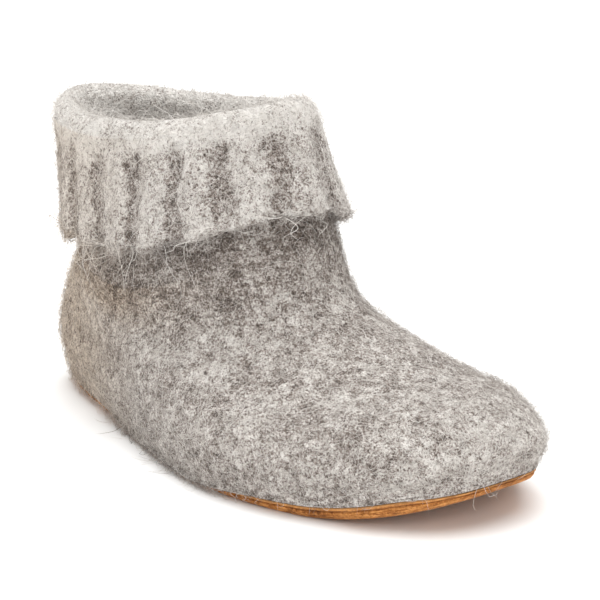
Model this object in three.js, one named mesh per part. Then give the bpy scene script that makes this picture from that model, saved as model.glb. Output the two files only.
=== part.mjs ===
import * as THREE from 'three';
import { mergeVertices } from 'three/addons/utils/BufferGeometryUtils.js';

// Knitted slipper boot, right foot. Millimetres, toe along +X, lateral side along -Y, +Z up.
// The origin lies on the floor under the middle of the boot.

// Named sizes of the foot, over the wool
const bootLength = 258;
const ballWidth = 123;
const heelWidth = 81;
const footHeight = 70;
const wall = 5;

// Named sizes of the shaft and its turned-down cuff
const shaftLength = 130;
const shaftWidth = 85;
const shaftSetback = 45;
const collarLength = 127;
const collarWidth = 59;
const collarHeight = 133;
const collarSetback = 61.5;
const cuffHeight = 50;
const cuffWall = 5.5;
const rollRise = 7.5;
const foldGap = 1;
const hemGap = 2.6;
const ribCount = 16;
const ribDepth = 2.2;

// Named sizes of the sole and insole
const toeSpring = 17;
const soleThickness = 2.4;
const heelRim = 3.2;
const toeRim = 6;
const rimThickness = 1.8;
const rimLip = 0.7;
const edgeRound = 3.2;
const cornerRound = 1.5;
const marginWidth = 13;
const marginThickness = 3.6;
const insoleThickness = 4;
const insoleRound = 1.2;
const clearance = 0.3;

// Working values that follow from the sizes
const halfLength = bootLength / 2;
const halfBall = ballWidth / 2;
const halfHeel = heelWidth / 2;
const rollRadius = (wall + foldGap + cuffWall) / 2;
const columnsPerRib = 5;
const columns = ribCount * columnsPerRib;
const furrowColumn = 2;
const floorTop = soleThickness + clearance;
const marginTop = floorTop + marginThickness;
const seatOffset = -rimThickness - clearance;
const innerOffset = seatOffset - wall;
const insoleOffset = innerOffset + cornerRound / 2;

// Sections of the foot from the feather edge to below the neck. back and front are shares of half
// the length, outer and inner shares of half the ball width, heel a share of half the heel width.
// waist and bend are shares of half the ball width. toe and round shape the two ends in plan: below
// 1 is fuller and 1 is an ellipse. riseBack, riseFront and riseSide are shares of the foot height.
const footSections = [
  { back: -0.961, front: 0.972, outer: 0.950, inner: 0.875, heel: 0.840, waist: 0.055, toe: 0.79, round: 0.60,
    bend: 0.11, riseBack: 0.088, riseFront: 0.085, riseSide: 0.075 },
  { back: -0.988, front: 0.994, outer: 0.990, inner: 0.925, heel: 0.895, waist: 0.050, toe: 0.80, round: 0.61,
    bend: 0.11, riseBack: 0.210, riseFront: 0.200, riseSide: 0.160 },
  { back: -1.000, front: 1.000, outer: 1.010, inner: 0.950, heel: 0.920, waist: 0.040, toe: 0.83, round: 0.62,
    bend: 0.11, riseBack: 0.390, riseFront: 0.420, riseSide: 0.295 },
  { back: -0.984, front: 0.900, outer: 0.955, inner: 0.895, heel: 0.920, waist: 0.020, toe: 0.90, round: 0.66,
    bend: 0.09, riseBack: 0.560, riseFront: 0.630, riseSide: 0.415 },
  { back: -0.952, front: 0.620, outer: 0.860, inner: 0.825, heel: 0.920, waist: 0.000, toe: 0.97, round: 0.73,
    bend: 0.06, riseBack: 0.710, riseFront: 0.735, riseSide: 0.520 },
  { back: -0.920, front: 0.325, outer: 0.775, inner: 0.760, heel: 0.955, waist: 0.000, toe: 1.00, round: 0.86,
    bend: 0.02, riseBack: 0.835, riseFront: 0.880, riseSide: 0.625 },
  { back: -0.893, front: 0.205, outer: 0.725, inner: 0.720, heel: 1.020, waist: 0.000, toe: 1.00, round: 0.96,
    bend: 0.00, riseBack: 0.950, riseFront: 1.050, riseSide: 0.740 },
];

// The two ends of the shaft. front, back and side are shares of the cuff height, added to the height
// there: they give the neck and the collar their tilt and saddle. turn swings the tilt, in radians:
// below zero the high front lies towards the lateral side.
const neckLift = { front: 0.40, back: 0.10, side: -0.13, turn: -0.19 };
const collarLift = { front: 0.24, back: -0.15, side: -0.09, turn: -0.05 };

// Smooth step from 0 to 1 between two values.
function smooth(value, from, to) {
  const share = Math.min(1, Math.max(0, (value - from) / (to - from)));
  return share * share * (3 - 2 * share);
}

// Height of the sole's underside over the floor, flat from the heel to the ball and then rising.
function underside(x) {
  const springStart = 0.47 * halfLength;
  const share = Math.max(0, (x - springStart) / (halfLength - springStart));
  return toeSpring * share * share;
}

// Height of the sole's turned-up rim over its underside: low around the heel, higher at the toe.
function rimHeight(x) {
  return heelRim + (toeRim - heelRim) * smooth(x, 0, 0.9 * halfLength);
}

// One closed outline around the boot. The angle is 0 at the toe and half a turn at the heel, and
// its sine is negative on the lateral side. The height passes through three given heights, at the
// front, the back and both sides.
function outline(section, angle) {
  const along = Math.cos(angle);
  const across = Math.sin(angle);
  const share = (1 + along) / 2;
  const lateral = across < 0;
  const half = lateral ? section.outer : section.inner;
  const spread = lateral ? smooth(share, 0.08, 0.68) : smooth(share, 0.1, 0.76);
  const arch = lateral ? 0.3 : 1;
  const dip = arch * section.waist * Math.exp(-(((share - 0.38) / 0.13) ** 2));
  const width = section.heel + (half - section.heel) * spread - dip;
  const x = section.back + (section.front - section.back) * share;
  const sway = section.bend * (0.5 - Math.sin(Math.PI * share));
  const fullness = section.round + (section.toe - section.round) * smooth(share, 0.2, 0.75);
  const y = Math.sign(across) * width * Math.abs(across) ** fullness + sway;
  const mean = (section.zFront + section.zBack) / 4 + section.zSide / 2;
  const tilt = (section.zFront - section.zBack) / 2;
  const saddle = (section.zFront + section.zBack) / 4 - section.zSide / 2;
  const swung = angle - section.turn;
  return new THREE.Vector3(x, y, mean + tilt * Math.cos(swung) + saddle * Math.cos(2 * swung));
}

// A row of the foot table turned into millimetres.
function footSection(row) {
  return {
    back: row.back * halfLength,
    front: row.front * halfLength,
    outer: row.outer * halfBall,
    inner: row.inner * halfBall,
    heel: row.heel * halfHeel,
    waist: row.waist * halfBall,
    bend: row.bend * halfBall,
    toe: row.toe,
    round: row.round,
    zBack: row.riseBack * footHeight,
    zFront: row.riseFront * footHeight,
    zSide: row.riseSide * footHeight,
    turn: 0,
  };
}

// An end of the shaft, an oval in millimetres.
function ovalSection(middle, long, wide, height, lift) {
  return {
    back: middle - long / 2,
    front: middle + long / 2,
    outer: wide / 2,
    inner: wide / 2,
    heel: wide / 2,
    waist: 0,
    bend: 0,
    toe: 1,
    round: 1,
    zBack: height + lift.back * cuffHeight,
    zFront: height + lift.front * cuffHeight,
    zSide: height + lift.side * cuffHeight,
    turn: lift.turn,
  };
}

const neckSection = ovalSection(-shaftSetback, shaftLength, shaftWidth, footHeight, neckLift);
const foldHeight = collarHeight - rollRise;
const collarSection = ovalSection(-collarSetback, collarLength, collarWidth, foldHeight, collarLift);
const rows = [...footSections.map(footSection), neckSection, collarSection];
const neckLevel = footSections.length;

// The section at any level of the foot, by a smooth curve through each column of the table.
function sectionAt(level) {
  const low = Math.min(neckLevel - 1, Math.max(0, Math.floor(level)));
  const t = level - low;
  const before = rows[Math.max(0, low - 1)];
  const from = rows[low];
  const to = rows[low + 1];
  const after = rows[low + 2];
  const section = {};
  for (const key of Object.keys(from)) {
    const slopeFrom = (to[key] - before[key]) / 2;
    const slopeTo = low + 1 === neckLevel ? (after[key] - to[key]) / 4 : (after[key] - from[key]) / 2;
    const rise = to[key] - from[key];
    section[key] = from[key] + slopeFrom * t
      + (3 * rise - 2 * slopeFrom - slopeTo) * t * t
      + (slopeFrom + slopeTo - 2 * rise) * t * t * t;
  }
  return section;
}

// A point of the foot's outer surface. The toe spring lifts the low rows and fades out above.
function footPoint(level, angle) {
  const point = outline(sectionAt(level), angle);
  point.z += underside(point.x) * (1 - smooth(level, 0, 3));
  return point;
}

// A point on the straight-sided shaft: share 0 is the neck and 1 the collar.
function shaftPoint(share, angle) {
  return outline(neckSection, angle).lerp(outline(collarSection, angle), share);
}

// A surface point moved outwards by a distance, square to the surface.
function offsetFrom(surface, level, angle, distance) {
  const step = 0.02;
  const around = surface(level, angle + step).sub(surface(level, angle - step));
  const upward = surface(level + step, angle).sub(surface(level - step, angle));
  const normal = around.cross(upward).normalize();
  return surface(level, angle).addScaledVector(normal, distance);
}

// The sole's own edge, of the same kind as the foot's rows.
const soleEdge = footSection({
  back: -0.950, front: 0.964, outer: 0.930, inner: 0.850, heel: 0.800, waist: 0.055, toe: 0.77, round: 0.60,
  bend: 0.11, riseBack: 0, riseFront: 0, riseSide: 0,
});

// A point at a distance outside the sole's edge in plan, at a height over the sole's underside
// plus a share of the rim's height.
function edgePoint(angle, distance, height, rimShare = 0) {
  const step = 0.02;
  const point = outline(soleEdge, angle);
  const around = outline(soleEdge, angle + step).sub(outline(soleEdge, angle - step)).normalize();
  point.x += around.y * distance;
  point.y -= around.x * distance;
  point.z = underside(point.x) + height + rimShare * rimHeight(point.x);
  return point;
}

// A point of a flat face, at a share of the way from the sole's middle to an edge point.
function facePoint(angle, share, distance, height) {
  const point = edgePoint(angle, distance, 0).multiplyScalar(share);
  point.z = underside(point.x) + height;
  return point;
}

// The angles of the columns, spread evenly along the shaft's oval so that the ribs are even.
function evenAngles(count) {
  const fine = 1440;
  const lengths = [0];
  for (let i = 1; i <= fine; i += 1) {
    const from = shaftPoint(0.3, (2 * Math.PI * (i - 1)) / fine);
    lengths.push(lengths[i - 1] + from.distanceTo(shaftPoint(0.3, (2 * Math.PI * i) / fine)));
  }
  const angles = [];
  let i = 0;
  for (let c = 0; c < count; c += 1) {
    const target = (lengths[fine] * c) / count;
    while (lengths[i + 1] < target) i += 1;
    const part = (target - lengths[i]) / (lengths[i + 1] - lengths[i]);
    angles.push((2 * Math.PI * (i + part)) / fine);
  }
  return angles;
}

// How deep a furrow of the cuff is at a column, at a share of the way up: none at hem and fold.
function furrow(column, share) {
  const phase = (2 * Math.PI * (column - furrowColumn)) / columnsPerRib;
  const across = (0.5 + 0.5 * Math.cos(phase)) ** 2;
  const fade = smooth(share, 0.02, 0.25) * (1 - smooth(share, 0.72, 0.95));
  return ribDepth * across * fade;
}

// A closed mesh from rows of points that each run once around. When capped, the first and last
// rows are single points, and otherwise the last row joins the first.
function meshFromRows(pointRows, capped) {
  const positions = [];
  const face = (...points) => {
    for (const p of points) positions.push(p.x, p.y, p.z);
  };
  const count = Math.max(...pointRows.map((row) => row.length));
  const bands = capped ? pointRows.length - 1 : pointRows.length;
  for (let r = 0; r < bands; r += 1) {
    const lower = pointRows[r];
    const upper = pointRows[(r + 1) % pointRows.length];
    for (let c = 0; c < count; c += 1) {
      const n = (c + 1) % count;
      if (lower.length > 1) face(lower[c], lower[n], upper[n % upper.length]);
      if (upper.length > 1) face(lower[c % lower.length], upper[n], upper[c]);
    }
  }
  const geometry = new THREE.BufferGeometry();
  geometry.setAttribute('position', new THREE.Float32BufferAttribute(positions, 3));
  const merged = mergeVertices(geometry, 1e-4);
  merged.computeVertexNormals();
  return merged;
}

// Where the rows of the meshes lie: levels of the foot, parts of the way up the cuff, a share of the
// way up the shaft, and shares of the way from a flat face's middle to its edge.
const outerLevels = [0.3, 0.8, 1.4, 2, 2.5, 3, 3.5, 4, 4.5, 5, 5.5, 6, 6.5];
const innerLevels = [6.3, 5.5, 4.7, 4, 3.3, 2.6, 1.8, 0.9];
const cuffParts = [0.05, 0.16, 0.32, 0.5, 0.68, 0.86];
const slotTop = 0.86;
const foldSteps = 4;
const faceShares = [0.45, 0.7];
const insoleShare = 0.66;

// One row of points around the boot.
const angles = evenAngles(columns);
function ring(pointAt) {
  return angles.map(pointAt);
}

// Outsole: a thin dish of suede with a rounded lower edge and a turned-up rim that ends in a lip.
function outsoleGeometry() {
  const list = [[new THREE.Vector3(0, 0, 0)]];
  const edge = (distance, height, rimShare = 0) => {
    list.push(ring((a) => edgePoint(a, distance, height, rimShare)));
  };
  const flat = (share, height) => list.push(ring((a) => facePoint(a, share, -marginWidth, height)));
  for (const share of faceShares) flat(share, 0);
  edge(-marginWidth, 0);
  edge(-edgeRound, 0);
  edge(-edgeRound * 0.35, 0, 0.12);
  edge(0, 0, 0.55);
  edge(0, 0, 0.72);
  edge(rimLip, 0, 0.8);
  edge(rimLip, 0, 1);
  edge(-rimThickness, 0, 1);
  edge(-rimThickness, soleThickness * 0.65, 0.35);
  edge(-rimThickness - cornerRound, soleThickness);
  edge(-marginWidth, soleThickness);
  for (const share of [...faceShares].reverse()) flat(share, soleThickness);
  list.push([new THREE.Vector3(0, 0, soleThickness)]);
  return meshFromRows(list, true);
}

// Upper: foot, shaft, fold and turned-down cuff, knitted whole. Its rows go round the wall once:
// margin, outside of the foot and shaft, slot under the fold, cuff, fold, and back down inside.
function upperGeometry() {
  const list = [];
  const row = (pointAt) => list.push(ring(pointAt));
  const edge = (distance, height, rimShare = 0) => row((a) => edgePoint(a, distance, height, rimShare));

  // Underside of the lasting margin, the corner inside the rim and the ledge over the rim
  edge(-marginWidth, floorTop);
  edge(seatOffset - cornerRound, floorTop);
  edge(seatOffset, floorTop * 0.75, 0.4);
  edge(seatOffset, clearance, 1);
  edge(rimLip * 0.6, clearance, 1);

  // Outside of the foot and of the shaft behind the cuff
  for (const level of outerLevels) row((a) => footPoint(level, a));
  for (const share of [0, 0.4, slotTop]) row((a) => shaftPoint(share, a));

  // The narrow slot between the shaft and the cuff, closed by the fold
  const gapAt = (share) => hemGap + (foldGap - hemGap) * share;
  const cuff = (share, distance) => row((a) => offsetFrom(shaftPoint, share, a, distance));
  const hem = 1 - (cuffHeight - rollRise) / (foldHeight - footHeight);
  const upCuff = (part) => hem + (1 - hem) * part;
  cuff((1 + 2 * slotTop) / 3, foldGap / 2);
  for (const share of [slotTop, upCuff(0.45), upCuff(0.04)]) cuff(share, gapAt(share));

  // Rounded hem and the ribbed outside of the cuff
  for (const part of [0.3, 0.75]) cuff(hem, gapAt(hem) + cuffWall * part);
  for (const part of cuffParts) {
    const share = upCuff(part);
    const outside = gapAt(share) + cuffWall;
    row((a, c) => offsetFrom(shaftPoint, share, a, outside - furrow(c, part)));
  }

  // Round fold over the top, from the cuff to the inside of the shaft
  const middle = (foldGap + cuffWall - wall) / 2;
  for (let turn = 0; turn <= foldSteps; turn += 1) {
    const out = middle + rollRadius * Math.cos((Math.PI * turn) / foldSteps);
    const up = rollRise * Math.sin((Math.PI * turn) / foldSteps);
    row((a) => {
      const lean = shaftPoint(1, a).sub(shaftPoint(0, a)).normalize();
      return offsetFrom(shaftPoint, 1, a, out).addScaledVector(lean, up);
    });
  }

  // Inside of the shaft and foot, one wall's thickness in, and the top of the lasting margin
  for (const share of [0.6, 0.15]) row((a) => offsetFrom(shaftPoint, share, a, -wall));
  for (const level of innerLevels) row((a) => offsetFrom(footPoint, level, a, -wall));
  edge(innerOffset + cornerRound, marginTop + cornerRound / 2);
  edge(innerOffset, marginTop);
  edge(-marginWidth, marginTop);
  return meshFromRows(list, false);
}

// Insole: a felt sole that lies on the lasting margin, with slightly rounded edges.
function insoleGeometry() {
  const base = marginTop + clearance;
  const top = base + insoleThickness;
  const list = [[new THREE.Vector3(0, 0, base)]];
  const edge = (distance, height) => list.push(ring((a) => edgePoint(a, distance, height)));
  const flat = (share, height) => list.push(ring((a) => facePoint(a, share, -marginWidth, height)));
  flat(insoleShare, base);
  edge(-marginWidth, base);
  edge(insoleOffset - insoleRound, base);
  edge(insoleOffset, base + insoleRound);
  edge(insoleOffset, top - insoleRound);
  edge(insoleOffset - insoleRound, top);
  flat(insoleShare, top);
  list.push([new THREE.Vector3(0, 0, top)]);
  return meshFromRows(list, true);
}

// A named mesh with its own material.
function piece(name, geometry, color, roughness) {
  const material = new THREE.MeshStandardMaterial({ color, roughness, metalness: 0 });
  const mesh = new THREE.Mesh(geometry, material);
  mesh.name = name;
  return mesh;
}

const boot = new THREE.Group();
boot.name = 'knitted_slipper_boot';
boot.add(piece('outsole', outsoleGeometry(), 0xa86c32, 0.9));
boot.add(piece('upper', upperGeometry(), 0xa9a6a3, 0.97));
boot.add(piece('insole', insoleGeometry(), 0xc9c4bb, 0.98));

export default boot;
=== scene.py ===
import math

import bpy
import numpy as np
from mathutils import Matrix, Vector


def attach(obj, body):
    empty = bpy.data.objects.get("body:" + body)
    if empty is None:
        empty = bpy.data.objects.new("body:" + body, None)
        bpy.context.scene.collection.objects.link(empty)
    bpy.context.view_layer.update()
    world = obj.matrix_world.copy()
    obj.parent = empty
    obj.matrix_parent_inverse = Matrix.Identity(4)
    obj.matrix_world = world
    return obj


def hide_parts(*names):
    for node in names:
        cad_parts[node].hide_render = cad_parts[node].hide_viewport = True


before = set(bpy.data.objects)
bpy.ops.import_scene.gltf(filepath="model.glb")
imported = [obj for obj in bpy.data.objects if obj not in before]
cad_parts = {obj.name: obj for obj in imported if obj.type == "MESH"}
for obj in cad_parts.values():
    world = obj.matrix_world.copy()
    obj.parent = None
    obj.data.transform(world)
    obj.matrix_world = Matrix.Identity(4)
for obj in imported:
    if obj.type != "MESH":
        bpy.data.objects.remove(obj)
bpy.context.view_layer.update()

# Outsole: one piece of tan suede, nap outside, cut a little larger than the foot and turned up
# round its edge, where it is sewn to the wool. The cut edge of the rim shows as a paler line; a dark
# line of painted shade runs in the groove below it, and a faint painted highlight lies on the lower round
# edge.
# Toe along +X, outer side along -Y, floor at z = 0.
mm = 0.001
boot_length = 258 * mm
ball_width = 123 * mm
heel_width = 81 * mm
foot_height = 70 * mm
toe_spring = 17 * mm
sole_thickness = 2.4 * mm
heel_rim = 3.2 * mm
toe_rim = 6 * mm
tip_rim_share = 0.5
rim_thickness = 1.8 * mm
rim_lip = 0.7 * mm
edge_round = 3.2 * mm
margin_width = 13 * mm
clearance = 0.3 * mm
half_length = boot_length / 2
half_ball = ball_width / 2
half_heel = heel_width / 2
outer_spread = (0.08, 0.68)
inner_spread = (0.1, 0.76)
outer_arch = 0.3
waist_place = 0.38
waist_span = 0.13
columns = 480


def smooth(value, start, end):
    """Smooth step: 0 before start, 1 after end, and 3s^2 - 2s^3 of the share between them."""
    share = np.clip((value - start) / (end - start), 0, 1)
    return share * share * (3 - 2 * share)


def underside(x):
    """Height of the sole over the floor: flat to the ball, then the square of the way to the toe."""
    spring_start = 0.47 * half_length
    share = np.maximum(0, (x - spring_start) / (half_length - spring_start))
    return toe_spring * share * share


def rim_height(x):
    """Height of the turned-up rim: low at the heel, a smooth step up towards the toe, and a smooth
    step down to a share of that at the tip."""
    rise = heel_rim + (toe_rim - heel_rim) * smooth(x, 0, 0.9 * half_length)
    return rise * (1 - (1 - tip_rim_share) * smooth(x, 0.78 * half_length, 0.98 * half_length))


def outline(section, angle):
    """A closed outline round the boot: an ellipse whose width runs from heel to ball, with a waist,
    a sideways bend and blunter ends, at a height of mean + tilt cos(swung) + saddle cos(2 swung),
    where swung is the angle less the section's turn."""
    along = np.cos(angle)
    across = np.sin(angle)
    share = (1 + along) / 2
    lateral = across < 0
    half = np.where(lateral, section["outer"], section["inner"])
    spread = np.where(lateral, smooth(share, *outer_spread), smooth(share, *inner_spread))
    arch = np.where(lateral, outer_arch, 1)
    dip = arch * section["waist"] * np.exp(-(((share - waist_place) / waist_span) ** 2))
    width = section["heel"] + (half - section["heel"]) * spread - dip
    x = section["back"] + (section["front"] - section["back"]) * share
    sway = section["bend"] * (0.5 - np.sin(np.pi * share))
    fullness = section["round"] + (section["toe"] - section["round"]) * smooth(share, 0.2, 0.75)
    y = np.sign(across) * width * np.abs(across) ** fullness + sway
    mean = (section["z_front"] + section["z_back"]) / 4 + section["z_side"] / 2
    tilt = (section["z_front"] - section["z_back"]) / 2
    saddle = (section["z_front"] + section["z_back"]) / 4 - section["z_side"] / 2
    swung = angle - section["turn"]
    return np.stack([x, y, mean + tilt * np.cos(swung) + saddle * np.cos(2 * swung)], axis=-1)


def foot_section(back, front, outer, inner, heel, waist, toe, round, bend, z_back, z_front, z_side):
    """A row of shares turned into metres."""
    return {
        "back": back * half_length, "front": front * half_length,
        "outer": outer * half_ball, "inner": inner * half_ball, "heel": heel * half_heel,
        "waist": waist * half_ball, "bend": bend * half_ball, "toe": toe, "round": round,
        "z_back": z_back * foot_height, "z_front": z_front * foot_height, "z_side": z_side * foot_height,
        "turn": 0,
    }


sole_edge = foot_section(
    back=-0.950, front=0.964, outer=0.930, inner=0.850, heel=0.800, waist=0.055, toe=0.77, round=0.60,
    bend=0.11, z_back=0, z_front=0, z_side=0,
)


def edge_point(angle, distance, height, rim_share=0):
    """A point moved square out from the sole's edge in plan, at the underside's height plus a height
    plus a share of the rim."""
    step = 0.02
    point = outline(sole_edge, angle)
    around = outline(sole_edge, angle + step) - outline(sole_edge, angle - step)
    around /= np.linalg.norm(around, axis=-1, keepdims=True)
    x = point[..., 0] + around[..., 1] * distance
    y = point[..., 1] - around[..., 0] * distance
    z = underside(x) + height + rim_share * rim_height(x)
    return np.stack([x, y, z], axis=-1)


def waves(points, length, seed):
    """A soft random relief of about -1 to 1: the sum of 24 plane waves of random direction and
    phase, with wavelengths round the given length."""
    random = np.random.default_rng(seed)
    count = 24
    directions = random.normal(size=(count, 3))
    directions /= np.linalg.norm(directions, axis=1, keepdims=True)
    numbers = 2 * np.pi / (length * random.uniform(0.75, 1.4, count))
    phases = random.uniform(0, 2 * np.pi, count)
    turns = points @ (directions * numbers[:, None]).T + phases
    return np.cos(turns).sum(-1) / 5


def wall_normals(rings, joined):
    """Unit normals of a grid of rings: the step round the ring crossed with the step to the next."""
    around = np.roll(rings, -1, 1) - np.roll(rings, 1, 1)
    onward = np.roll(rings, -1, 0) - np.roll(rings, 1, 0)
    if not joined:
        onward[0] = rings[1] - rings[0]
        onward[-1] = rings[-1] - rings[-2]
    normals = np.cross(around, onward)
    return normals / np.maximum(np.linalg.norm(normals, axis=-1, keepdims=True), 1e-12)


def new_object(name, points, quads, triangles, marks):
    """A mesh object from arrays of points, four-sided and three-sided faces, and a number or a
    colour mark for each point."""
    mesh = bpy.data.meshes.new(name)
    corners = np.concatenate([quads.ravel(), triangles.ravel()]).astype(np.int32)
    sides = np.concatenate([np.full(len(quads), 4), np.full(len(triangles), 3)])
    mesh.vertices.add(len(points))
    mesh.vertices.foreach_set("co", points.astype(np.float32).ravel())
    mesh.loops.add(len(corners))
    mesh.loops.foreach_set("vertex_index", corners)
    mesh.polygons.add(len(sides))
    mesh.polygons.foreach_set("loop_start", (np.cumsum(sides) - sides).astype(np.int32))
    mesh.polygons.foreach_set("use_smooth", np.ones(len(sides), bool))
    for mark, values in marks.items():
        vector = values.size == 3 * len(points)
        held = mesh.attributes.new(mark, "FLOAT_VECTOR" if vector else "FLOAT", "POINT")
        held.data.foreach_set("vector" if vector else "value", values.astype(np.float32).ravel())
    mesh.update(calc_edges=True)
    made = bpy.data.objects.new(name, mesh)
    bpy.context.scene.collection.objects.link(made)
    return made


def ring_object(name, rings, joined, marks):
    """A closed surface through a grid of rings. Joined, the last ring meets the first; otherwise a
    fan of triangles to the middle point closes each end."""
    rows, count = rings.shape[:2]
    index = np.arange(rows * count).reshape(rows, count)
    lower = index if joined else index[:-1]
    upper = np.roll(index, -1, 0) if joined else index[1:]
    quads = np.stack([lower, np.roll(lower, -1, 1), np.roll(upper, -1, 1), upper], -1).reshape(-1, 4)
    points = rings.reshape(-1, 3)
    triangles = np.zeros((0, 3), int)
    if not joined:
        points = np.concatenate([points, rings[[0, -1]].mean(1)])
        first = np.full(count, rows * count)
        fan_start = np.stack([first, np.roll(index[0], -1), index[0]], -1)
        fan_end = np.stack([first + 1, index[-1], np.roll(index[-1], -1)], -1)
        triangles = np.concatenate([fan_start, fan_end])
        marks = {
            mark: np.concatenate([values.reshape(rows * count, -1), values[[0, -1]].mean(1).reshape(2, -1)])
            for mark, values in marks.items()
        }
    return new_object(name, points, quads, triangles, marks)


# The oval ends of the shaft, which the columns of every piece follow
shaft_length = 130 * mm
shaft_width = 85 * mm
shaft_setback = 45 * mm
collar_length = 127 * mm
collar_width = 59 * mm
collar_height = 133 * mm
collar_setback = 61.5 * mm
cuff_height = 50 * mm
cuff_wall = 5.5 * mm
wall = 5 * mm
fold_gap = 1 * mm
roll_radius = (wall + fold_gap + cuff_wall) / 2
roll_rise = 7.5 * mm
fold_height = collar_height - roll_rise


def oval_section(middle, long, wide, height, lift_front, lift_back, lift_side, turn):
    """An oval end of the shaft, with lifts as shares of the cuff's height and their turn in radians."""
    return {
        "back": middle - long / 2, "front": middle + long / 2, "outer": wide / 2, "inner": wide / 2,
        "heel": wide / 2, "waist": 0, "bend": 0, "toe": 1, "round": 1,
        "z_back": height + lift_back * cuff_height, "z_front": height + lift_front * cuff_height,
        "z_side": height + lift_side * cuff_height, "turn": turn,
    }


neck_section = oval_section(
    -shaft_setback, shaft_length, shaft_width, foot_height,
    lift_front=0.40, lift_back=0.10, lift_side=-0.13, turn=-0.19,
)
collar_section = oval_section(
    -collar_setback, collar_length, collar_width, fold_height,
    lift_front=0.24, lift_back=-0.15, lift_side=-0.09, turn=-0.05,
)


def shaft_point(share, angle):
    """A point of the straight-sided shaft: a share of the way from the neck's oval to the collar's."""
    neck = outline(neck_section, angle)
    return neck + (outline(collar_section, angle) - neck) * np.asarray(share)[..., None]


def even_angles(share):
    """Angles of the columns, spread so that they lie evenly along the oval at that share of the shaft."""
    fine = np.linspace(0, 2 * np.pi, 2881)
    steps = np.linalg.norm(np.diff(shaft_point(share, fine), axis=0), axis=1)
    lengths = np.concatenate([[0], np.cumsum(steps)])
    return np.interp(np.arange(columns) / columns * lengths[-1], lengths, fine)


angles = even_angles(0.3)
sole_profile = np.array([
    # out, height, rim share, pale cut edge (a faint painted highlight on the lower round edge, painted shade
    # in the groove where negative)
    [-margin_width, 0, 0, 0],
    [-edge_round, 0, 0, 0],
    [-edge_round * 0.35, 0, 0.10, 0.1],
    [0, 0, 0.42, 0],
    [0.1 * mm, 0, 0.62, 0],
    [-0.2 * mm, 0, 0.72, -1],
    [rim_lip, 0, 0.80, 0],
    [rim_lip, 0, 0.94, 0.7],
    [rim_lip * 0.5, 0, 1.0, 1],
    [-rim_thickness, 0, 1.0, 1],
    [-rim_thickness, sole_thickness * 0.65, 0.35, 0],
    [-rim_thickness - 1.5 * mm, sole_thickness, 0, 0],
    [-margin_width, sole_thickness, 0, 0],
])
rows_per_step = 4
last = len(sole_profile) - 1
steps = np.linspace(0, last, rows_per_step * last + 1)
sole_rows = np.stack([np.interp(steps, np.arange(last + 1), column) for column in sole_profile.T])
out, height, rim_share, edge_paleness_and_shade = (row[:, None] for row in sole_rows)
wander = waves(edge_point(angles, 0, 0), 9 * mm, 5) * 0.25 * mm
out = out + wander * smooth(rim_share, 0, 0.3)
sole_rings = edge_point(angles[None, :], out, height, rim_share)
middle_shares = (0.25, 0.5, 0.75)
middle_rings = np.stack([sole_rings[0] * [share, share, 1] for share in middle_shares])
middle_rings[..., 2] = underside(middle_rings[..., 0])
top_rings = middle_rings[::-1] + [0, 0, sole_thickness]
sole_rings = np.concatenate([middle_rings, sole_rings, top_rings])
unmarked = np.zeros((len(middle_shares), columns))
cut_edge_and_shade_marks = np.concatenate([unmarked, np.broadcast_to(edge_paleness_and_shade, (len(steps), columns)), unmarked])

# Coordinates of the layered grain: they turn once round the sole's edge and climb with the rim
edge_ring = sole_rings[6]
lap = np.linalg.norm(np.diff(edge_ring, axis=0, append=edge_ring[:1]), axis=1).cumsum()
lap_turn = lap[None, :] / lap[-1] * 2 * np.pi
climb = np.cumsum(np.abs(np.diff(rim_share[:, 0], prepend=0)))
climb = np.concatenate([unmarked[:, 0], climb, unmarked[:, 0]])[:, None]
grain_length = 14
grain_climb = 9
grain_marks = np.stack(np.broadcast_arrays(
    grain_length * np.cos(lap_turn), grain_length * np.sin(lap_turn), grain_climb * climb,
), -1)
outsole = ring_object("suede_outsole", sole_rings, False, {"cut_edge_and_groove_shade": cut_edge_and_shade_marks, "grain": grain_marks})


def add_node(tree, kind, inputs=(), **settings):
    """A shader node with its settings, and with numbers or links for its input sockets."""
    node = tree.nodes.new(kind)
    for name, value in settings.items():
        setattr(node, name, value)
    for socket, value in dict(inputs).items():
        if isinstance(value, bpy.types.NodeSocket):
            tree.links.new(value, node.inputs[socket])
        else:
            node.inputs[socket].default_value = value
    return node


def new_material(name, roughness):
    """A material with its Principled shader, and the coordinates of its own object."""
    material = bpy.data.materials.new(name)
    material.use_nodes = True
    tree = material.node_tree
    shader = tree.nodes["Principled BSDF"]
    shader.inputs["Roughness"].default_value = roughness
    shader.inputs["Specular IOR Level"].default_value = 0.2
    place = add_node(tree, "ShaderNodeTexCoord").outputs["Object"]
    return material, tree, shader, place


def mix_colour(tree, share, first, second):
    """Two colours mixed by a share."""
    node = add_node(tree, "ShaderNodeMix", {0: share, 6: first, 7: second}, data_type="RGBA")
    return node.outputs[2]


def scaled(tree, value, factor, offset=0.0, clamp=False):
    """A value times a factor plus an offset."""
    node = add_node(tree, "ShaderNodeMath", {0: value, 1: factor, 2: offset}, operation="MULTIPLY_ADD")
    node.use_clamp = clamp
    return node.outputs[0]


def mesh_mark(tree, name):
    """A value that the mesh carries for each point."""
    return add_node(tree, "ShaderNodeAttribute", attribute_name=name).outputs["Fac"]


def noise(tree, place, scale, detail, roughness):
    """A noise of 0 to 1."""
    inputs = {"Vector": place, "Scale": scale, "Detail": detail, "Roughness": roughness}
    return add_node(tree, "ShaderNodeTexNoise", inputs).outputs[0]


def colour_ramp(tree, value, stops):
    """Colours for a value, blended between stops of a position and a colour."""
    ramp = add_node(tree, "ShaderNodeValToRGB", {"Fac": value})
    elements = ramp.color_ramp.elements
    elements[0].position, elements[0].color = stops[0]
    elements[1].position, elements[1].color = stops[-1]
    for position, colour in stops[1:-1]:
        elements.new(position).color = colour
    return ramp.outputs[0]


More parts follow.
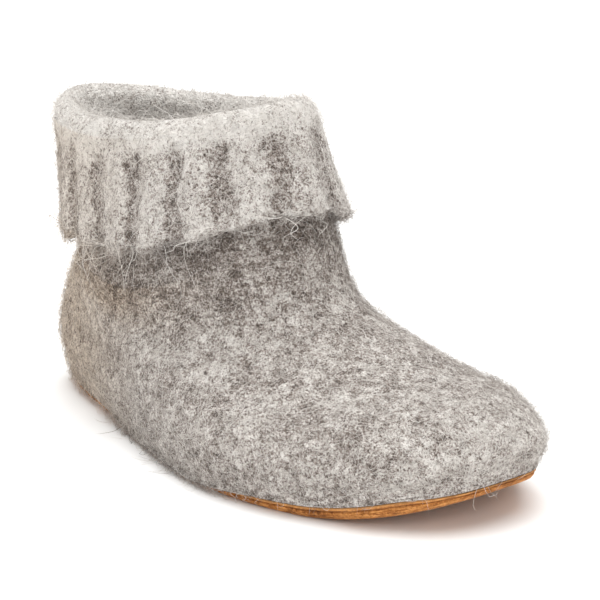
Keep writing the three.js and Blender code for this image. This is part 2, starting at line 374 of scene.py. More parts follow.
def add_relief(tree, shader, height, strength, distance):
    """A bump on the shader's normal from a height value."""
    bump = add_node(tree, "ShaderNodeBump", {"Strength": strength, "Distance": distance, "Height": height})
    tree.links.new(bump.outputs[0], shader.inputs["Normal"])


# Suede: a tan nap, mottled finely and broadly, with the split leather's layers along the rim
suede_cut = (0.78, 0.42, 0.17, 1)
suede_pale = (0.68, 0.32, 0.1, 1)
suede_tan = (0.37, 0.135, 0.034, 1)
suede_dark = (0.1, 0.034, 0.01, 1)
suede, tree, shader, place = new_material("tan suede", 0.95)
layer_place = add_node(tree, "ShaderNodeAttribute", attribute_name="grain").outputs["Vector"]
mottle = scaled(tree, noise(tree, place, 700, 4, 0.85), 0.6)
mottle = scaled(tree, noise(tree, place, 60, 3, 0.6), 0.35, mottle)
mottle = scaled(tree, noise(tree, layer_place, 1, 4, 0.75), 0.6, mottle)
body = colour_ramp(tree, mottle, ((0.64, suede_dark), (0.77, suede_tan), (0.9, suede_pale)))
cut_edge_and_groove_shade = mesh_mark(tree, "cut_edge_and_groove_shade")
# The pale cut edge where the mark is above 0, with a faint painted highlight on the lower round edge; painted
# shade, dark, in the groove where the mark is below 0
body = mix_colour(tree, scaled(tree, cut_edge_and_groove_shade, 0.6, clamp=True), body, suede_cut)
body = mix_colour(tree, scaled(tree, cut_edge_and_groove_shade, -0.6, clamp=True), body, suede_dark)
tree.links.new(body, shader.inputs["Base Color"])
add_relief(tree, shader, mottle, 0.7, 0.5 * mm)
shader.inputs["Sheen Weight"].default_value = 0.1
shader.inputs["Sheen Roughness"].default_value = 0.5
shader.inputs["Sheen Tint"].default_value = (1, 0.75, 0.5, 1)
outsole.data.materials.append(suede)
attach(outsole, "root")
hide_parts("outsole")

# Upper: foot, shaft and cuff knitted in one piece of grey melange wool, then felted. The top of the
# shaft is turned down outside to make the ribbed cuff. The lower edge hangs over the rim behind the ball.
neck_level = 7
sag_depth = 2.4 * mm
hem_gap = 2.6 * mm
rib_count = 16
rib_depth = 2.2 * mm
rib_offset = 0.4
margin_thickness = 3.6 * mm
corner_round = 1.5 * mm
floor_top = sole_thickness + clearance
margin_top = floor_top + margin_thickness
seat_offset = -rim_thickness - clearance
inner_offset = seat_offset - wall
foot_table = [
    # back, front, outer, inner, heel, waist, toe, round, bend, z_back, z_front, z_side
    foot_section(-0.961, 0.972, 0.950, 0.875, 0.840, 0.055, 0.79, 0.60, 0.11, 0.088, 0.085, 0.075),
    foot_section(-0.988, 0.994, 0.990, 0.925, 0.895, 0.050, 0.80, 0.61, 0.11, 0.210, 0.200, 0.160),
    foot_section(-1.000, 1.000, 1.010, 0.950, 0.920, 0.040, 0.83, 0.62, 0.11, 0.390, 0.420, 0.295),
    foot_section(-0.984, 0.900, 0.955, 0.895, 0.920, 0.020, 0.90, 0.66, 0.09, 0.560, 0.630, 0.415),
    foot_section(-0.952, 0.620, 0.860, 0.825, 0.920, 0.000, 0.97, 0.73, 0.06, 0.710, 0.735, 0.520),
    foot_section(-0.920, 0.325, 0.775, 0.760, 0.955, 0.000, 1.00, 0.86, 0.02, 0.835, 0.880, 0.625),
    foot_section(-0.893, 0.205, 0.725, 0.720, 1.020, 0.000, 1.00, 0.96, 0.00, 0.950, 1.050, 0.740),
    neck_section,
    collar_section,
]
table = {key: np.array([row[key] for row in foot_table], float) for key in neck_section}


def section_at(level):
    """The section at any level, by a cubic through the table's rows whose slope at a row is half the
    step between its neighbours, and gentler at the neck."""
    low = np.clip(np.floor(level).astype(int), 0, neck_level - 1)
    t = level - low
    section = {}
    for key, column in table.items():
        before, start, end, after = (column[np.clip(low + k, 0, neck_level + 1)] for k in (-1, 0, 1, 2))
        slope_start = (end - before) / 2
        slope_end = np.where(low + 1 == neck_level, (after - end) / 4, (after - start) / 2)
        rise = end - start
        section[key] = (
            start + slope_start * t + (3 * rise - 2 * slope_start - slope_end) * t**2
            + (slope_start + slope_end - 2 * rise) * t**3
        )
    return section


def foot_point(level, angle):
    """A point of the foot's outside: the outline at that level, lifted by the toe spring low down."""
    point = outline(section_at(level), angle)
    point[..., 2] += underside(point[..., 0]) * (1 - smooth(level, 0, 3))
    return point


def offset_from(surface, level, angle, distance):
    """A surface point moved out by a distance along the surface's normal."""
    step = 0.02
    around = surface(level, angle + step) - surface(level, angle - step)
    upward = surface(level + step, angle) - surface(level - step, angle)
    normal = np.cross(around, upward)
    normal /= np.linalg.norm(normal, axis=-1, keepdims=True)
    return surface(level, angle) + normal * np.asarray(distance)[..., None]


def furrow_share(column, part):
    """Depth of the cuff's furrows, 0 to 1: a raised cosine round the cuff, squared, that fades out
    towards the hem and the fold. The furrows wander a little."""
    turn = 2 * np.pi * (column / columns * rib_count - rib_offset)
    wobble = 0.35 * np.sin(3 * part + 9 * column / columns) + 0.25 * np.sin(7 * part - 31 * column / columns)
    across = (0.5 + 0.5 * np.cos(turn + wobble)) ** 1.6
    return across * smooth(part, -0.2, 0.16) * (1 - smooth(part, 0.76, 0.97))


def column_of(values):
    """Row values as a column, to work out a whole grid at once."""
    return np.asarray(values, float)[:, None]


angle_row = angles[None, :]
column_row = np.arange(columns)[None, :]

# Lower edge: the lasting margin, the ledge over the rim, and the overhang behind the ball and inside
edge_x, edge_y = edge_point(angles, 0, 0)[:, 0], edge_point(angles, 0, 0)[:, 1]
inner_overhang = 0.9 * smooth(edge_y, -2 * mm, 34 * mm) * (1 - smooth(edge_x, 92 * mm, 116 * mm))
overhang = np.maximum(1 - smooth(edge_x, 8 * mm, 50 * mm), inner_overhang)
overhang *= 0.05 + 0.95 * smooth(edge_x, -80 * mm, -48 * mm)
low_rows = np.stack([
    edge_point(angles, -margin_width, floor_top),
    edge_point(angles, seat_offset - corner_round, floor_top),
    edge_point(angles, seat_offset, floor_top * 0.75, 0.4),
    edge_point(angles, seat_offset, clearance, 1),
    edge_point(angles, rim_lip * 0.6, clearance, 1),
    edge_point(angles, 1.1 * mm, clearance + 0.1 * mm, 1),
    edge_point(angles, 1.3 * mm + 0.5 * mm * overhang, 0.6 * mm, 1 - 0.62 * overhang),
    edge_point(angles, 1.5 * mm + 1.6 * mm * overhang, 1.5 * mm, 1 - 0.75 * overhang),
])

# Outside of the foot and of the shaft behind the cuff
levels = np.concatenate([
    np.linspace(0.25, 2, 20, endpoint=False),
    np.linspace(2, 3, 13, endpoint=False),
    np.linspace(3, 5, 54, endpoint=False),
    np.linspace(5, neck_level, 26, endpoint=False),
])
foot_rows = foot_point(column_of(levels), angle_row)
sag = (1 - smooth(column_of(levels), 0.2, 1.7)) * overhang
foot_rows[..., 2] -= sag_depth * sag
slot_top = 0.86
shaft_shares = np.linspace(0, slot_top, 12)
shaft_rows = shaft_point(column_of(shaft_shares) + 0 * angle_row, angle_row)

# Slot under the fold, hem, and ribbed outside of the cuff
hem = 1 - (cuff_height - roll_rise) / (fold_height - foot_height)


def gap_at(share):
    """Width of the slot between shaft and cuff, narrowing evenly from the hem to the fold."""
    return hem_gap + (fold_gap - hem_gap) * share


def cuff_rows(shares, distances):
    """Rows of the cuff: points of the shaft's side moved out by a distance for each row."""
    grid = column_of(shares) + 0 * angle_row
    return offset_from(shaft_point, grid, angle_row, np.broadcast_to(distances, grid.shape))


slot_shares = np.array([slot_top, hem + 0.7 * (1 - hem), hem + 0.4 * (1 - hem), hem + 0.04 * (1 - hem)])
slot_rows = np.concatenate([
    cuff_rows([(1 + 2 * slot_top) / 3], fold_gap / 2),
    cuff_rows(slot_shares, column_of(gap_at(slot_shares))),
])
hem_turns = np.array([0.22, 0.4, 0.58, 0.76, 0.92])
hem_drop = hem - 0.012 * np.sin(np.pi * hem_turns)
hem_line = shaft_point(hem, angles)
hem_wander = 0.028 * waves(hem_line, 12 * mm, 31) + 0.016 * waves(hem_line, 5 * mm, 32)
raggedness = 0.5 + 0.5 * smooth(-hem_line[:, 0], 10 * mm, 60 * mm)
hem_grid = column_of(hem_drop) + (hem_wander + 0.06 * furrow_share(column_row, 0.3)) * raggedness
hem_out = column_of(gap_at(hem) + cuff_wall * hem_turns)
hem_rows = offset_from(shaft_point, hem_grid, angle_row, hem_out + 0 * angle_row)
parts = np.linspace(0.035, 0.985, 29)
part_shares = hem + (1 - hem) * parts
furrows = furrow_share(column_row, column_of(parts))
outside = column_of(gap_at(part_shares) + cuff_wall) - rib_depth * furrows
side_rows = cuff_rows(part_shares, outside)

# Half-round fold over the top, and the inside down to the margin
turns = column_of(np.linspace(0, 1, 9))
fold_out = (fold_gap + cuff_wall - wall) / 2 + roll_radius * np.cos(np.pi * turns)
fold_up = roll_rise * np.sin(np.pi * turns)
lean = shaft_point(1, angles) - shaft_point(0, angles)
lean /= np.linalg.norm(lean, axis=-1, keepdims=True)
fold_rows = cuff_rows(np.ones(len(turns)), fold_out) + lean[None] * fold_up[..., None]
inner_shaft = cuff_rows(np.linspace(0.9, 0.1, 7), -wall)
inner_levels = column_of([6.6, 6.0, 5.4, 4.8, 4.2, 3.6, 3.0, 2.4, 1.8, 1.3, 0.9])
inner_grid = inner_levels + 0 * angle_row
inner_foot = offset_from(foot_point, inner_grid, angle_row, np.full(inner_grid.shape, -wall))
base_rows = np.stack([
    edge_point(angles, inner_offset + corner_round, margin_top + corner_round / 2),
    edge_point(angles, inner_offset, margin_top),
    edge_point(angles, -margin_width, margin_top),
])
bands = [
    low_rows, foot_rows, shaft_rows, slot_rows, hem_rows, side_rows, fold_rows, inner_shaft, inner_foot,
    base_rows,
]
upper_rings = np.concatenate(bands)
band_ends = np.cumsum([len(band) for band in bands])
_, foot_band, shaft_band, slot_band, hem_band, side_band, fold_band, inner_band, lining_band, _ = (
    slice(end - len(band), end) for band, end in zip(bands, band_ends)
)


def crease(points, start, end, width, depth):
    """A soft trough along a straight line through the wool: depth times a bell curve of the distance
    from the line, whose width is given."""
    start, end = np.array(start) * mm, np.array(end) * mm
    way = end - start
    share = np.clip(((points - start) @ way) / (way @ way), 0, 1)
    away = np.linalg.norm(points - start - share[..., None] * way, axis=-1)
    return -depth * np.exp(-((away / width) ** 2))


# Felted knit is uneven: broad swells, knobs and the main creases at the ankle, instep and ball
proud = np.zeros(len(upper_rings))
proud[foot_band] = smooth(levels, 0.2, 1.0)
proud[shaft_band] = 1 - smooth(shaft_shares, 0.12, 0.3)
proud[hem_band] = 0.5
proud[side_band] = 1
proud[fold_band] = 0.5
proud[inner_band] = 0.5
proud[lining_band] = 0.3
swell = 0.4 * mm * waves(upper_rings, 26 * mm, 11) + 0.2 * mm * waves(upper_rings, 11 * mm, 12)
swell += 0.17 * mm * waves(upper_rings, 5.5 * mm, 13)
for start, end, width, depth in [
    # start and end in millimetres, width, depth
    ((30, -26, 66), (22, 26, 68), 9 * mm, 1.5 * mm),
    ((-60, -52, 52), (-104, -30, 66), 10 * mm, 1.2 * mm),
    ((-60, 48, 52), (-104, 28, 66), 10 * mm, 1.2 * mm),
    ((-8, -52, 56), (-52, -48, 60), 8 * mm, 0.9 * mm),
    ((-118, -12, 62), (-118, 14, 62), 8 * mm, 1.2 * mm),
    ((62, -50, 30), (44, -30, 52), 9 * mm, 0.7 * mm),
    ((72, 42, 30), (52, 26, 52), 9 * mm, 0.7 * mm),
]:
    swell += crease(upper_rings, start, end, width, depth)
upper_rings = upper_rings + wall_normals(upper_rings, True) * (swell * proud[:, None])[..., None]

# Marks for the wool's colour: painted shade in the furrows, painted light and shade over the upper,
# a painted brown shade towards the heel and under the hem, where pale tufts gather, and the knit's own
# coordinates
x, y, z = np.moveaxis(upper_rings, -1, 0)
# Painted shade in the cuff's furrows
furrow_shade_marks = np.zeros(upper_rings.shape[:2])
furrow_shade_marks[side_band] = furrows
# Painted light on the hem, the cuff's side towards its crest, the fold, the inside of the shaft (more deeply
# inside) and the lining, the heel and the toe; painted shade under the cuff's hem, on the shaft behind the
# cuff and in the slot under it
painted_light_marks = np.zeros(upper_rings.shape[:2])
painted_light_marks[hem_band] = 0.06
painted_light_marks[side_band] = 0.2 + 0.24 * smooth(column_of(parts), 0.72, 0.98)
painted_light_marks[fold_band] = 0.42
painted_light_marks[inner_band] = column_of(np.linspace(0.5, 1.0, len(inner_shaft)))
painted_light_marks[lining_band] = 0.6
# Painted shade under the cuff's hem, deeper on the heel side
foot_shade = smooth(column_of(levels), 5.2, neck_level) * (0.5 + 0.5 * smooth(-x[foot_band], 0, 70 * mm))
painted_light_marks[foot_band] = 0.1 * smooth(-x[foot_band], 30 * mm, 100 * mm) - 0.28 * foot_shade
painted_light_marks[foot_band] += 0.13 * smooth(x[foot_band], 92 * mm, 128 * mm)
painted_light_marks[shaft_band] = -0.25
painted_light_marks[slot_band] = -0.2
# Painted brown shade: stronger towards the heel and under the cuff's hem, halved on the cuff's outside, faint
# on the fold and inside
warm_shade_marks = 0.08 + 1.0 * smooth(-x, 20 * mm, 110 * mm)
warm_shade_marks[foot_band] += 1.1 * foot_shade * smooth(-x[foot_band], -10 * mm, 60 * mm)
warm_shade_marks[side_band.start:fold_band.start] *= 0.5
warm_shade_marks[fold_band.start:lining_band.stop] = 0.05
tuft_marks = np.zeros(upper_rings.shape[:2])
tuft_marks[foot_band] = smooth(x[foot_band], -40 * mm, 60 * mm)
tuft_marks[foot_band] *= 1 - 0.6 * smooth(column_of(levels), 2.2, 4.2)
row_height = 3.3 * mm
stitch_width = 4.2 * mm
cuff_stitch = 3.2 * mm


def knit_slope(x):
    """Slope of the knit's rows, up towards the toe: 22 degrees at the toe, 43 degrees at the heel."""
    return np.radians(22 + 21 * smooth(-x, -20 * mm, 70 * mm))


slope = knit_slope(x)
knit_marks = np.stack([
    (z * np.cos(slope) - x * np.sin(slope)) / row_height, y / stitch_width,
    (x * np.cos(slope) + z * np.sin(slope)) / stitch_width,
], -1)
cuff_band = slice(hem_band.start, lining_band.start)
knit_marks[cuff_band] = upper_rings[cuff_band] / cuff_stitch
upper = ring_object("felted_upper", upper_rings, True, {
    "furrow_shade": furrow_shade_marks, "light": painted_light_marks, "warm_shade": warm_shade_marks, "tuft": tuft_marks, "knit": knit_marks,
})


def srgb(red, green, blue):
    """A colour given as it looks on screen, 0 to 255, turned into linear light."""
    shown = np.array([red, green, blue]) / 255
    linear = np.where(shown <= 0.04045, shown / 12.92, ((shown + 0.055) / 1.055) ** 2.4)
    return (*linear, 1.0)


wool_white = srgb(228, 224, 219)
wool_light = srgb(200, 193, 188)
wool_grey = srgb(163, 154, 148)
wool_brown = srgb(122, 110, 101)
wool_dark = srgb(78, 69, 63)
wool_steps = ((0.0, wool_dark), (0.25, wool_brown), (0.5, wool_grey), (0.75, wool_light), (1.0, wool_white))


def new_group(name, inputs, outputs):
    """An empty shader node group with named input and output sockets."""
    group = bpy.data.node_groups.new(name, "ShaderNodeTree")
    for socket, kind, value in inputs:
        made = group.interface.new_socket(socket, in_out="INPUT", socket_type=kind)
        if value is not None:
            made.default_value = value
    for socket, kind in outputs:
        group.interface.new_socket(socket, in_out="OUTPUT", socket_type=kind)
    return group, group.nodes.new("NodeGroupInput"), group.nodes.new("NodeGroupOutput")


# Fibre lines: where a noise passes through its middle value there is a thin curly line, like a hair
# that lies in the felt. Short pale, long pale and dark layers of them go into the melange.
fibre_group, given, result = new_group(
    "felt fibres",
    [("Vector", "NodeSocketVector", None), ("Scale", "NodeSocketFloat", 300.0),
     ("Width", "NodeSocketFloat", 0.03), ("Seed", "NodeSocketFloat", 0.0)],
    [("Line", "NodeSocketFloat")],
)
shift = add_node(fibre_group, "ShaderNodeVectorMath", {
    0: given.outputs["Vector"], 1: given.outputs["Seed"],
}, operation="ADD")
bent = add_node(fibre_group, "ShaderNodeTexNoise", {
    "Vector": shift.outputs[0], "Scale": given.outputs["Scale"],
    "Detail": 2.0, "Roughness": 0.45, "Distortion": 0.6,
})
from_middle = add_node(fibre_group, "ShaderNodeMath", {0: bent.outputs[0], 1: 0.5}, operation="SUBTRACT")
away = add_node(fibre_group, "ShaderNodeMath", {0: from_middle.outputs[0]}, operation="ABSOLUTE")
near = add_node(fibre_group, "ShaderNodeMapRange", {
    "Value": away.outputs[0], "From Min": 0.0, "From Max": given.outputs["Width"],
    "To Min": 1.0, "To Max": 0.0,
})
fibre_group.links.new(near.outputs[0], result.inputs["Line"])


def fibre_lines(tree, place, scale, width, seed):
    """The felt-fibre group placed in a material with its own values."""
    inputs = {"Vector": place, "Scale": scale, "Width": width, "Seed": seed}
    return add_node(tree, "ShaderNodeGroup", inputs, node_tree=fibre_group).outputs["Line"]


def ranged(tree, value, low, high):
    """A value turned into 0 to 1 between two of its values, with soft ends."""
    node = add_node(tree, "ShaderNodeMapRange", {"Value": value, "From Min": low, "From Max": high},
                    interpolation_type="SMOOTHSTEP")
    return node.outputs[0]


def centred(tree, place, weight, scale, detail, roughness):
    """A noise round zero, times a weight."""
    return scaled(tree, noise(tree, place, scale, detail, roughness), weight, -0.5 * weight)


def added(tree, first, second):
    """The sum of two values."""
    return add_node(tree, "ShaderNodeMath", {0: first, 1: second}, operation="ADD").outputs[0]


def warm_shaded(tree, colour):
    """A colour tinted towards brown where the mesh carries the painted brown shade."""
    share = scaled(tree, mesh_mark(tree, "warm_shade"), 0.8, clamp=True)
    node = add_node(tree, "ShaderNodeMix", {0: share, 6: colour, 7: (1.0, 0.9, 0.78, 1)},
                    data_type="RGBA", blend_type="MULTIPLY")
    return node.outputs[2]


# Melange wool: knobs of the felted stitches in rows, with a painted highlight on top and painted shade
# in the pits between, mottled at every scale, with pale and dark fibre lines and white tufts, and the
# painted light and shade that the mesh carries.
melange, tree, shader, place = new_material("grey melange wool", 1.0)
knit = add_node(tree, "ShaderNodeAttribute", attribute_name="knit").outputs["Vector"]
jitter = add_node(tree, "ShaderNodeTexNoise", {"Vector": place, "Scale": 150, "Detail": 2})
warped = add_node(tree, "ShaderNodeVectorMath", {0: jitter.outputs["Color"], 1: (0.9, 0.9, 0.9), 2: knit},
                  operation="MULTIPLY_ADD").outputs[0]
cells = add_node(tree, "ShaderNodeTexVoronoi", {"Vector": warped, "Scale": 1.0, "Smoothness": 0.5,
                                                "Randomness": 0.8}, feature="SMOOTH_F1")
# Painted highlight on the knobs' tops, and painted shade in the pits between them
knob = ranged(tree, cells.outputs["Distance"], 0.8, 0.15)
pits = add_node(tree, "ShaderNodeTexVoronoi", {"Vector": warped, "Scale": 0.9, "Randomness": 0.6})
pit_shade = ranged(tree, pits.outputs["Distance"], 0.34, 0.12)
spots = add_node(tree, "ShaderNodeTexVoronoi", {"Vector": place, "Scale": 170, "Randomness": 1.0})
tufts = add_node(tree, "ShaderNodeMath", {
    0: ranged(tree, spots.outputs["Distance"], 0.34, 0.1), 1: mesh_mark(tree, "tuft"),
}, operation="MULTIPLY")
# Uneven painted shade in the cuff's furrows
ragged_furrow_shade = added(tree, mesh_mark(tree, "furrow_shade"), centred(tree, place, 1.6, 220, 3, 0.8))
tone_and_painted_light = scaled(tree, knob, 0.33, 0.46)
for share in (
    scaled(tree, pit_shade, -0.3),
    centred(tree, place, 0.72, 75, 1, 0.5),
    centred(tree, warped, 1.15, 0.8, 3, 0.9),
    centred(tree, place, 2.1, 1100, 1, 0.9),
    scaled(tree, fibre_lines(tree, place, 360, 0.03, 3.0), 0.3, -0.08),
    scaled(tree, fibre_lines(tree, place, 170, 0.012, 7.0), 0.35),
    scaled(tree, fibre_lines(tree, place, 330, 0.03, 11.0), -0.3, 0.03),
    scaled(tree, tufts.outputs[0], 0.4),
    scaled(tree, ranged(tree, ragged_furrow_shade, 0.3, 0.8), -0.33, 0.03),
    # Painted light and shade that the mesh carries
    mesh_mark(tree, "light"),
):
    tone_and_painted_light = added(tree, tone_and_painted_light, share)
tree.links.new(warm_shaded(tree, colour_ramp(tree, tone_and_painted_light, wool_steps)), shader.inputs["Base Color"])
add_relief(tree, shader, tone_and_painted_light, 0.9, 0.9 * mm)
shader.inputs["Sheen Weight"].default_value = 0.15
shader.inputs["Sheen Roughness"].default_value = 0.6
upper.data.materials.append(melange)
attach(upper, "root")
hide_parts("upper")

# Insole: a pale felt sole, cut to the inside of the foot and laid loose on the margin.
insole_thickness = 4 * mm
insole_round = 1.2 * mm
insole_offset = inner_offset + corner_round / 2
base = margin_top + clearance
top = base + insole_thickness
insole_profile = [
    # out, height
    (-margin_width, base),
    (insole_offset - insole_round, base),
    (insole_offset, base + insole_round),
    (insole_offset, top - insole_round),
    (insole_offset - 0.4 * insole_round, top - 0.4 * insole_round),
    (insole_offset - insole_round, top),
    (-margin_width, top),
]
insole_rings = np.stack([edge_point(angles[::2], out, height) for out, height in insole_profile])
spread_rings = np.stack([insole_rings[0] * [share, share, 1] for share in (0.3, 0.6, 0.85)])
spread_rings[..., 2] = underside(spread_rings[..., 0]) + base
foot_print = spread_rings[::-1] + [0, 0, insole_thickness]
insole_rings = np.concatenate([spread_rings, insole_rings, foot_print])
insole = ring_object("felt_insole", insole_rings, False, {})
felt, tree, shader, place = new_material("pale felt", 1.0)
felt_noise = noise(tree, place, 300, 5, 0.6)
felt_lines = fibre_lines(tree, place, 260, 0.03, 19.0)
felt_body = mix_colour(tree, ranged(tree, felt_noise, 0.3, 0.7), wool_light, wool_white)
felt_body = mix_colour(tree, scaled(tree, felt_lines, 0.35), felt_body, wool_grey)
tree.links.new(felt_body, shader.inputs["Base Color"])
add_relief(tree, shader, felt_noise, 0.6, 0.4 * mm)
insole.data.materials.append(felt)
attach(insole, "root")
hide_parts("insole")

# Nap: the fine fibres that stand out of the felted wool all over, and the longer stray hairs. Each is
# a closed three-sided strand that tapers to a point and is rooted in the upper.
root_depth = 0.2 * mm
floor_clearance = 0.2 * mm


def scatter(rings, weights, count, seed):
    """Random places on a grid of rings, as many to each unit of area as its weight says, with the
    surface's normal there and the row and column."""
    random = np.random.default_rng(seed)
    normals = wall_normals(rings, True)
    across = np.roll(rings, -1, 1) - rings
    onward = np.roll(rings, -1, 0) - rings
    share = np.linalg.norm(np.cross(across, onward), axis=-1) * weights
    totals = np.cumsum(share.ravel())
    picked = np.searchsorted(totals, random.uniform(0, totals[-1], count))
    row, column = np.unravel_index(picked, rings.shape[:2])
    u, v = random.uniform(size=(2, count, 1))
    place = rings[row, column] + across[row, column] * u + onward[row, column] * v
    return place, normals[row, column], row, column


def strand_paths(place, normal, length, lift, curl, droop, points, combed, seed):
    """Paths of strands: each heads off along the surface in a random direction, closer to the rows of
    the knit the more it is combed. It turns by its curl, rises by a lift that is part arch and part
    free end, and droops by the square of its share."""
    random = np.random.default_rng(seed)
    count = len(place)
    slope = knit_slope(place[:, 0])
    along = np.stack([np.cos(slope), 0 * slope, np.sin(slope)], -1) * random.choice([-1, 1], (count, 1))
    side = np.cross(normal, random.normal(size=(count, 3)) + combed * along)
    side /= np.linalg.norm(side, axis=1, keepdims=True)
    forward = np.cross(normal, side)
    share = np.linspace(0, 1, points)[None, :]
    bend = random.normal(0, curl, (count, 1))
    wave = random.normal(0, curl * 0.5, (count, 1))
    turn = bend * share + wave * np.sin(2 * np.pi * share + random.uniform(0, 6.3, (count, 1)))
    reach = (length / (points - 1))[:, None]
    ahead = np.cumsum(np.cos(turn), 1) - np.cos(turn[:, :1])
    aside = np.cumsum(np.sin(turn), 1) - np.sin(turn[:, :1])
    free = random.uniform(0, 1, (count, 1))
    rise = lift[:, None] * (free * share + (1 - free) * 0.7 * np.sin(np.pi * share))
    path = place[:, None] + forward[:, None] * (ahead * reach)[..., None]
    path = path + side[:, None] * (aside * reach)[..., None]
    path = path + normal[:, None] * (rise - root_depth)[..., None]
    path[..., 2] = np.maximum(path[..., 2] - droop * share**2, floor_clearance)
    return path


def strand_object(name, path, width, marks, seed):
    """Closed strands along paths, all in one mesh: three-sided rings that taper, then a point."""
    random = np.random.default_rng(seed)
    count, points = path.shape[:2]
    heading = np.gradient(path, axis=1)
    heading /= np.maximum(np.linalg.norm(heading, axis=-1, keepdims=True), 1e-12)
    first = np.cross(heading, random.normal(size=(count, 1, 3)))
    first /= np.maximum(np.linalg.norm(first, axis=-1, keepdims=True), 1e-12)
    second = np.cross(heading, first)
    radius = width[:, None] / 2 * (1 - 0.6 * np.linspace(0, 1, points)[None, :])
    corners = np.array([0, 1, 2]) * 2 * np.pi / 3
    rings = first[:, :, None] * np.cos(corners)[:, None] + second[:, :, None] * np.sin(corners)[:, None]
    rings = path[:, :, None] + rings * radius[:, :, None, None]
    vertices = np.concatenate([rings[:, :-1].reshape(count, -1, 3), path[:, -1:]], 1)
    each = vertices.shape[1]
    here = np.arange(3)
    ahead = (here + 1) % 3
    step = np.arange(points - 2)[:, None, None] * 3
    sides = step + np.stack([here, ahead, ahead + 3, here + 3], -1)
    tip = np.stack([here + each - 4, ahead + each - 4, np.full(3, each - 1)], -1)
    caps = np.concatenate([tip, [[0, 2, 1]]])
    start = np.arange(count)[:, None, None] * each
    quads = (start + sides.reshape(1, -1, 4)).reshape(-1, 4)
    triangles = (start + caps[None]).reshape(-1, 3)
    marks = {mark: np.repeat(values, each) for mark, values in marks.items()}
    return new_object(name, vertices.reshape(-1, 3), quads, triangles, marks)


fibre_wool, tree, shader, place = new_material("wool fibres", 0.9)
fibre_colour = warm_shaded(tree, colour_ramp(tree, mesh_mark(tree, "tone_and_painted_light"), wool_steps))
tree.links.new(fibre_colour, shader.inputs["Base Color"])


def nap_object(name, weights, count, length, lift, curl, droop, width, points, shade, combed, seed):
    """One batch of strands on the upper: scattered, bent, toned like the wool below with its painted light
    and shade, and named.
    """
    random = np.random.default_rng(seed)
    root, normal, row, column = scatter(upper_rings, weights, count, seed + 1)
    path = strand_paths(
        root, normal, length * np.clip(random.lognormal(0, 0.3, count), 0.5, 1.6),
        lift * np.clip(random.lognormal(0, 0.4, count), 0.4, 1.7),
        curl, droop, points, combed, seed + 2,
    )
    # Each strand takes the painted light, the painted furrow shade and the painted brown shade of the wool at
    # its root
    tones_and_painted_light = shade + painted_light_marks[row, column] - 0.25 * furrow_shade_marks[row, column] + random.normal(0, 0.2, count)
    tones_and_painted_light = np.where(random.uniform(size=count) < 0.2, tones_and_painted_light - 0.4, tones_and_painted_light)
    marks = {"tone_and_painted_light": np.clip(tones_and_painted_light, 0, 1), "warm_shade": warm_shade_marks[row, column]}
    nap = strand_object(name, path, width * random.uniform(0.7, 1.3, count), marks, seed + 3)
    nap.data.materials.append(fibre_wool)
    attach(nap, "root")


nap_weight = np.zeros(upper_rings.shape[:2])
nap_weight[foot_band.start - 2: foot_band.start] = 1.5 - 1.3 * smooth(edge_x, 30 * mm, 70 * mm)
nap_weight[foot_band] = 1.0
nap_weight[foot_band.start: foot_band.start + 5] = 1 - 0.85 * smooth(edge_x, 30 * mm, 70 * mm)
nap_weight[shaft_band] = column_of(1 - smooth(shaft_shares, 0.15, 0.35))
nap_weight[hem_band] = 1.6
nap_weight[side_band] = 1.0
nap_weight[fold_band] = 1.2
nap_weight[inner_band] = 0.5
nap_weight[lining_band] = 0.1

# The nap in three parts, which keeps each mesh small: low and high on the foot, and the cuff
row_index = np.arange(len(upper_rings))[:, None]
low_end = foot_band.start + 44
high_end = slot_band.start
low_part = nap_weight * (row_index < low_end)
high_part = nap_weight * (row_index >= low_end) * (row_index < high_end)
cuff_part = nap_weight * (row_index >= high_end)
hem_part = np.zeros(upper_rings.shape[:2])
hem_part[hem_band.start + 1: hem_band.stop + 1] = 0.2 + 0.8 * smooth(-hem_line[:, 0], 5 * mm, 60 * mm)
rim_part = np.zeros(upper_rings.shape[:2])
rim_part[foot_band.start - 2: foot_band.start + 3] = 1.02 - smooth(edge_x, 30 * mm, 60 * mm)
for batch in (
    # name, weights, count, length, lift, curl, droop, width, points, shade, combed, seed
    ("nap_low", low_part, 15000, 4.5 * mm, 2.0 * mm, 1.0, 0, 0.1 * mm, 3, 0.66, 1.2, 100),
    ("nap_high", high_part, 12000, 4.5 * mm, 2.0 * mm, 1.0, 0, 0.1 * mm, 3, 0.66, 1.2, 110),
    ("nap_cuff", cuff_part, 15000, 4.5 * mm, 2.0 * mm, 1.0, 0, 0.1 * mm, 3, 0.66, 1.2, 120),
    ("hairs", nap_weight, 7000, 12 * mm, 2.0 * mm, 1.5, 0, 0.18 * mm, 6, 1.0, 2.2, 130),
    ("hem_fringe", hem_part, 3000, 5 * mm, 0.9 * mm, 1.5, 2.5 * mm, 0.12 * mm, 4, 0.6, 0, 140),
    ("hem_strays", hem_part, 100, 24 * mm, 4 * mm, 3.4, 8 * mm, 0.3 * mm, 16, 1.2, 0, 150),
    ("rim_strays", rim_part, 150, 9 * mm, 2.6 * mm, 2.4, 3 * mm, 0.18 * mm, 9, 1.0, 0, 160),
):
    nap_object(*batch)

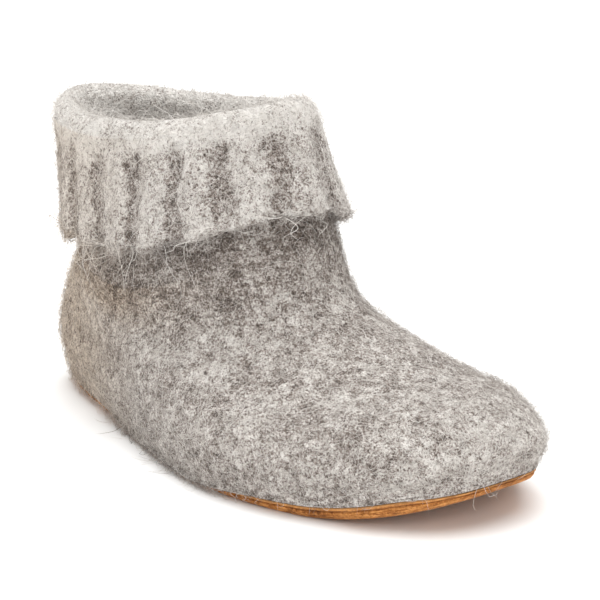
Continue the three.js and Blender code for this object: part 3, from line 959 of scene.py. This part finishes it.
# Floor, light and camera: a white floor, a broad sun overhead, soft fills in front and at the heel,
# and the view of the boot from its outer front.
camera_azimuth = math.radians(48.0)
camera_elevation = math.radians(17.9)
camera_distance = 1783 * mm
camera_lens = 267
aim = np.array([5.8, 3.1, 62.2]) * mm
floor_mesh = bpy.data.meshes.new("floor")
floor_mesh.from_pydata([(-30, -30, 0), (30, -30, 0), (30, 30, 0), (-30, 30, 0)], [], [(0, 1, 2, 3)])
floor = bpy.data.objects.new("floor", floor_mesh)
bpy.context.scene.collection.objects.link(floor)
paper, tree, shader, place = new_material("white paper", 0.9)
shader.inputs["Base Color"].default_value = (0.93, 0.925, 0.92, 1)
floor_mesh.materials.append(paper)
world = bpy.data.worlds.new("studio")
bpy.context.scene.world = world
world.use_nodes = True
world.node_tree.nodes["Background"].inputs["Color"].default_value = (1, 0.955, 0.91, 1)
world.node_tree.nodes["Background"].inputs["Strength"].default_value = 0.62
for name, kind, place, size, power in (
    # size is the sun's angle in radians or the area's width in metres
    ("overhead", "SUN", (-0.05, 0.1, 1.6), math.radians(60), 3.45),
    ("front_fill", "AREA", (1.5, -0.7, 0.8), 1.0, 7),
    ("heel_fill", "AREA", (-0.7, -1.3, 0.3), 0.9, 4),
):
    light = bpy.data.lights.new(name, kind)
    setattr(light, "angle" if kind == "SUN" else "size", size)
    light.energy = power
    light.color = (0.96, 0.985, 1)
    lamp = bpy.data.objects.new(name, light)
    lamp.location = place
    lamp.rotation_euler = (-lamp.location).to_track_quat("-Z", "Y").to_euler()
    bpy.context.scene.collection.objects.link(lamp)
back = np.array([
    math.sin(camera_azimuth) * math.cos(camera_elevation),
    -math.cos(camera_azimuth) * math.cos(camera_elevation),
    math.sin(camera_elevation),
])
camera_pivot = np.array([0, 0, 70]) * mm
camera = bpy.data.objects.new("camera", bpy.data.cameras.new("camera"))
camera.data.lens = camera_lens
camera.data.sensor_width = 36
camera.data.clip_end = 100
camera.location = camera_pivot + back * camera_distance
direction = (camera.location - Vector(aim)).normalized()
camera.rotation_euler = direction.to_track_quat("Z", "Y").to_euler()
bpy.context.scene.collection.objects.link(camera)
bpy.context.scene.camera = camera
bpy.context.scene.view_settings.view_transform = "Standard"

bpy.context.view_layer.update()
